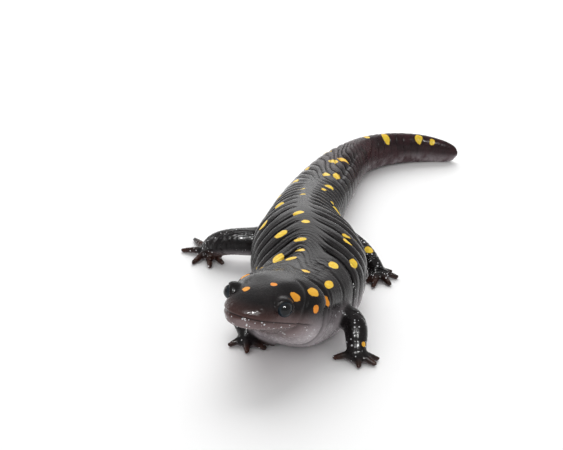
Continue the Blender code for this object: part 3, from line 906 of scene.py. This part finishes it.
wet_skin = bpy.data.materials.new("wet_spotted_skin")
wet_skin.use_nodes = True
tree = wet_skin.node_tree
shader = tree.nodes["Principled BSDF"]
object_place = add_node(tree, "ShaderNodeTexCoord").outputs["Object"]
body_place = add_node(tree, "ShaderNodeAttribute", attribute_name="skin_place").outputs["Vector"]

# Ground colour: mottled charcoal, paling to grey under the belly and browning on the face, the toes and
# the tail, with painted shade that is darkest in the bottom of each fold.
mottle = noise_over(tree, object_place, MOTTLE_SCALE, 4.0, 0.6)
color = blend(tree, remap(tree, mottle, 0.40, 0.68), CHARCOAL, SLATE)
belly_mix = times(tree, field(tree, "underside"), remap(tree, mottle, 0.25, 0.6, 0.65, 1.0))
color = blend(tree, belly_mix, color, BELLY_GREY)
color = blend(tree, times(tree, field(tree, "face"), 0.75), color, LIP_BROWN)
brown_patches = remap(tree, mottle, 0.35, 0.65, 0.35, 1.0)
color = blend(tree, times(tree, field(tree, "toe"), brown_patches), color, TOE_BROWN)
tail_mix = times(tree, times(tree, field(tree, "tail"), brown_patches), 0.9)
color = blend(tree, tail_mix, color, PLUM)
# Painted shade in the folds: charcoal laid over the colour where the skin is pushed in.
crease_shade_mask = field(tree, "crease_shade")
color = blend(tree, times(tree, crease_shade_mask, 0.6), color, CHARCOAL)

# Flecks: fine white grains of mucus on the jaw, the lower flanks and the limbs. Each cell draws
# whether it holds a fleck, and how large it is.
fleck_cells = cells_over(tree, object_place, FLECK_SCALE)
fleck_draw = add_node(tree, "ShaderNodeSeparateColor", {"Color": fleck_cells.outputs["Color"]})
fleck_reach = remap(tree, fleck_draw.outputs["Green"], 0.0, 1.0, 0.10, 0.31, "LINEAR")
fleck_gap = calculate(tree, "SUBTRACT", fleck_reach, fleck_cells.outputs["Distance"])
fleck_chance = times(tree, field(tree, "flecks"), 0.80)
fleck_pick = calculate(tree, "LESS_THAN", fleck_draw.outputs["Red"], fleck_chance)
fleck = times(tree, remap(tree, fleck_gap, 0.0, 0.05), fleck_pick)
color = blend(tree, fleck, color, FLECK_WHITE)

# Spots: yolk yellow, a little paler in blotches and a little deeper at the rim.
edge_noise = noise_over(tree, object_place, PORE_SCALE, 2.0)
edge_shift = remap(tree, edge_noise, 0.0, 1.0, -0.10, 0.10, "LINEAR")
spot_edge = calculate(tree, "ADD", field(tree, "spot"), edge_shift)
yolk_mottle = noise_over(tree, object_place, YOLK_SCALE, 3.0)
yolk = blend(tree, remap(tree, yolk_mottle, 0.35, 0.7), YOLK, PALE_YOLK)
yolk = blend(tree, field(tree, "orange"), yolk, TANGERINE)
yolk = blend(tree, remap(tree, spot_edge, 0.22, 0.0, 0.0, 0.22), yolk, TANGERINE)
color = blend(tree, remap(tree, spot_edge, -0.05, 0.05), color, yolk)

# Painted shade: the slit of the mouth and the nostril pits are darkened inside, as if shaded.
mouth_width = calculate(tree, "ABSOLUTE", field(tree, "mouth"))
mouth_shade = times(tree, remap(tree, mouth_width, 0.16, 0.04), field(tree, "mouth_fade"))
color = blend(tree, times(tree, mouth_shade, 0.8), color, MOUTH_SHADE)
nostril_shade = remap(tree, field(tree, "nostril"), 0.42, 0.20)
color = blend(tree, nostril_shade, color, MOUTH_SHADE)
tree.links.new(color, shader.inputs["Base Color"])

# Each groove has a crisp crease between two raised lips, and slack skin has fine wrinkle lines.
fold_part = calculate(tree, "FRACT", field(tree, "fold_phase"))
fold_edge = calculate(tree, "ABSOLUTE", calculate(tree, "SUBTRACT", fold_part, 0.5))
crease = remap(tree, fold_edge, 0.41, 0.50)
lip_rise = remap(tree, fold_edge, 0.26, 0.38)
fold_height = calculate(tree, "SUBTRACT", lip_rise, times(tree, crease, 2.2))
fold_height = times(tree, fold_height, field(tree, "fold_depth"))
wrinkle_run = add_node(tree, "ShaderNodeSeparateXYZ", {"Vector": body_place}).outputs["X"]
wrinkle_part = calculate(tree, "FRACT", times(tree, wrinkle_run, 0.85))
wrinkle_edge = calculate(tree, "ABSOLUTE", calculate(tree, "SUBTRACT", wrinkle_part, 0.5))
wrinkle = times(tree, remap(tree, wrinkle_edge, 0.28, 0.5), field(tree, "fine_wrinkles"))
fold_height = calculate(tree, "SUBTRACT", fold_height, times(tree, wrinkle, 0.9))

# Pores, fine grain and hairlines that run round the trunk break up the gloss.
pores = cells_over(tree, object_place, PORE_SCALE).outputs["Distance"]
grain = noise_over(tree, object_place, GRAIN_SCALE, 5.0, 0.62)
hair_place = add_node(tree, "ShaderNodeMapping", {"Vector": body_place, "Scale": (1.9, 0.16, 1.0)})
hairlines = noise_over(tree, hair_place.outputs["Vector"], 1.0, 3.0, 0.55)
hairlines = times(tree, hairlines, field(tree, "trunk"))
roughness = remap(tree, grain, 0.3, 0.7, 0.20, 0.31)
roughness = calculate(tree, "ADD", roughness, times(tree, crease_shade_mask, -0.08))
tree.links.new(roughness, shader.inputs["Roughness"])

fold_relief = relief(tree, fold_height, 1.0, FOLD_RELIEF)
hair_relief = relief(tree, hairlines, 0.5, HAIRLINE_RELIEF, fold_relief)
pore_relief = relief(tree, pores, 0.2, PORE_RELIEF, hair_relief)
grain_relief = relief(tree, grain, 0.4, GRAIN_RELIEF, pore_relief)
fleck_relief = relief(tree, fleck, 0.6, FLECK_RELIEF, grain_relief)
tree.links.new(fleck_relief, shader.inputs["Normal"])

# The film of mucus is the coat.
tree.links.new(pore_relief, shader.inputs["Coat Normal"])
shader.inputs["Coat Weight"].default_value = 0.22
shader.inputs["Coat Roughness"].default_value = 0.04
shader.inputs["Coat IOR"].default_value = 1.33
shader.inputs["Specular IOR Level"].default_value = 0.11
fused.materials.append(wet_skin)

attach(skin, "root")
flesh = [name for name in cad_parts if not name.startswith("eye_")]
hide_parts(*flesh)

# --- Eyes ------------------------------------------------------------------------------------
# Each eyeball is a dark, wet globe held in the swollen lids. A faintly streaked blue-black iris
# surrounds the black pupil, under a clear cornea that bulges a little.
IRIS = (0.006, 0.014, 0.022)
IRIS_STREAK = (0.010, 0.018, 0.026)
PUPIL = (0.003, 0.003, 0.004)
STREAK_SCALE = 2200.0
CORNEA_BULGE = 0.05
EYEBALL_RINGS = 40
EYEBALL_SIDES = 64

wet_eye = bpy.data.materials.new("wet_dark_eye")
wet_eye.use_nodes = True
tree = wet_eye.node_tree
shader = tree.nodes["Principled BSDF"]
eye_place = add_node(tree, "ShaderNodeTexCoord").outputs["Object"]
streaks = noise_over(tree, eye_place, STREAK_SCALE, 4.0)
iris_color = blend(tree, remap(tree, streaks, 0.35, 0.7), IRIS, IRIS_STREAK)
pupil_mask = remap(tree, field(tree, "off_gaze"), 0.95, 0.45)
tree.links.new(blend(tree, pupil_mask, iris_color, PUPIL), shader.inputs["Base Color"])
tree.links.new(remap(tree, streaks, 0.2, 0.8, 0.06, 0.12), shader.inputs["Roughness"])
shader.inputs["IOR"].default_value = 1.38

for name, eye in eyes.items():
    ball = ball_rings((0, 0, 0), (1, 1, 1), EYEBALL_RINGS, EYEBALL_SIDES)
    ball_points, ball_faces = close_rings(ball)
    ball_points = ball_points / np.linalg.norm(ball_points, axis=1)[:, None]
    ahead = ball_points @ eye["outlook"]
    radius = EYEBALL_RADIUS * (1 + CORNEA_BULGE * ramp(0.70, 0.95, ahead))
    ball_points = (eye["ball"] + ball_points * radius[:, None] + shift) * MM
    globe = bpy.data.meshes.new("eyeball_" + name)
    globe.from_pydata(ball_points.tolist(), [], [tuple(int(i) for i in face) for face in ball_faces])
    layer = globe.attributes.new("off_gaze", "FLOAT", "POINT")
    layer.data.foreach_set("value", np.arccos(np.clip(ahead, -1, 1)).astype(np.float32))
    globe.materials.append(wet_eye)
    globe.shade_smooth()
    eyeball = bpy.data.objects.new("eyeball_" + name, globe)
    bpy.context.scene.collection.objects.link(eyeball)
    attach(eyeball, "root")
    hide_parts("eye_" + name)

# --- Studio ----------------------------------------------------------------------------------
# A plain white floor under a broad soft light from behind. Small lamps glint on the wet skin, and
# a white wall of light behind lays a soft sheen along the back.
FLOOR_SIZE = 4.0
FLOOR_DROP = 0.00002
FLOOR_WHITE = (0.94, 0.94, 0.94, 1.0)
AIR_BRIGHTNESS = 0.62
CAMERA_DISTANCE = 0.300
CAMERA_ELEVATION = math.radians(23.0)
CAMERA_VIEW = math.radians(24.8)

floor_mesh = bpy.data.meshes.new("studio_floor")
half = FLOOR_SIZE / 2
floor_corners = [(-half, -half, 0), (half, -half, 0), (half, half, 0), (-half, half, 0)]
floor_mesh.from_pydata(floor_corners, [], [(0, 1, 2, 3)])
floor = bpy.data.objects.new("studio_floor", floor_mesh)
bpy.context.scene.collection.objects.link(floor)
floor.location.z = -FLOOR_DROP
floor_white = bpy.data.materials.new("studio_white")
floor_white.use_nodes = True
floor_shader = floor_white.node_tree.nodes["Principled BSDF"]
floor_shader.inputs["Base Color"].default_value = FLOOR_WHITE
floor_shader.inputs["Roughness"].default_value = 0.6
floor_mesh.materials.append(floor_white)


# A round lamp that lights the scene, shows in reflections, or does both.
def add_lamp(name, location, size, watts, target=(0.0, 0.0, 0.005), mirrored=True, spread=True):
    lamp = bpy.data.lights.new(name, "AREA")
    lamp.shape = "DISK"
    lamp.size = size
    lamp.energy = watts
    holder = bpy.data.objects.new(name, lamp)
    holder.location = location
    aim = Vector(target) - Vector(location)
    holder.rotation_euler = aim.to_track_quat("-Z", "Y").to_euler()
    holder.visible_glossy = mirrored
    holder.visible_diffuse = spread
    bpy.context.scene.collection.objects.link(holder)


add_lamp("broad_soft_light", (0.02, 1.00, 0.80), 1.50, 17.0, mirrored=False)
add_lamp("left_glint", (-0.22, -0.42, 0.55), 0.09, 5.0, spread=False)
add_lamp("flank_gleam", (-0.75, 0.45, 0.32), 0.30, 0.9, spread=False)
add_lamp("middle_glint", (-0.02, -0.40, 0.62), 0.06, 2.6, spread=False)
add_lamp("right_glint", (0.16, -0.46, 0.52), 0.09, 5.0, spread=False)
add_lamp("white_wall", (0.0, 0.95, 0.38), 0.55, 0.70, (0.0, 0.0, 0.02))

world = bpy.data.worlds.new("studio_air")
world.use_nodes = True
air = world.node_tree.nodes["Background"]
air.inputs["Color"].default_value = (1.0, 1.0, 1.0, 1.0)
air.inputs["Strength"].default_value = AIR_BRIGHTNESS
bpy.context.scene.world = world
bpy.context.scene.view_settings.view_transform = "Standard"

camera = bpy.data.cameras.new("camera")
camera.sensor_width = 36.0
camera.lens = camera.sensor_width / 2 / math.tan(CAMERA_VIEW / 2)
camera.clip_start = 0.01
viewpoint = bpy.data.objects.new("camera", camera)
target = Vector(shift * MM)
backward = Vector((0.0, -math.cos(CAMERA_ELEVATION), math.sin(CAMERA_ELEVATION)))
viewpoint.location = target + backward * CAMERA_DISTANCE
viewpoint.rotation_euler = (-backward).to_track_quat("-Z", "Y").to_euler()
bpy.context.scene.collection.objects.link(viewpoint)
bpy.context.scene.camera = viewpoint
